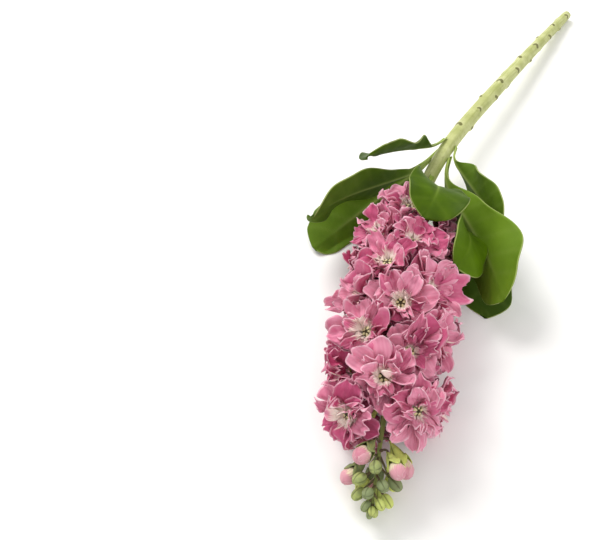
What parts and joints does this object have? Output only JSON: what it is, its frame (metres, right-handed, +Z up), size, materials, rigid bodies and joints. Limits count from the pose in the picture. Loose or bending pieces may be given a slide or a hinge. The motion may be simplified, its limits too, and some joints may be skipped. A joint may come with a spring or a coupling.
{
  "type": "cut stock flower stem",
  "caption": "Cut stem of pink double stock, lying down: bare scarred stem, tuft of spoon-shaped leaves, dense spike of ruffled florets and green buds at its tip.",
  "frame": {"origin": "centre of the bounding box's base, on the surface that the stem lies on", "axes": "+X runs along the stem from its cut end to the buds at its tip, +Z is up"},
  "size_m": [0.5366, 0.1418, 0.071],
  "materials": {
    "petal_pink": "thin soft petal, satin, lighter at its rim and cream at its claw",
    "stem_green": "fresh pale green stem, satin, with olive brown leaf scars",
    "leaf_green": "smooth green leaf, satin, paler at its midrib and underneath"
  },
  "bodies": {
    "root": {"stem": "stem_green", "floret_01": "petal_pink", "floret_02": "petal_pink", "floret_03": "petal_pink", "floret_04": "petal_pink", "floret_05": "petal_pink", "floret_06": "petal_pink", "floret_07": "petal_pink", "floret_08": "petal_pink", "floret_09": "petal_pink", "floret_10": "petal_pink", "floret_11": "petal_pink", "floret_12": "petal_pink", "floret_13": "petal_pink", "floret_14": "petal_pink", "floret_15": "petal_pink", "floret_16": "petal_pink", "floret_17": "petal_pink", "floret_18": "petal_pink", "floret_19": "petal_pink", "floret_20": "petal_pink", "floret_21": "petal_pink", "floret_22": "petal_pink", "floret_23": "petal_pink", "floret_24": "petal_pink", "floret_25": "petal_pink", "pink_bud_01": "petal_pink", "pink_bud_02": "petal_pink", "pink_bud_03": "petal_pink", "pink_bud_04": "petal_pink", "pink_bud_05": "petal_pink", "leaf_01": "leaf_green", "leaf_02": "leaf_green", "leaf_03": "leaf_green", "leaf_04": "leaf_green", "leaf_05": "leaf_green", "leaf_06": "leaf_green", "leaf_07": "leaf_green", "leaf_08": "leaf_green"}
  },
  "joints": []
}
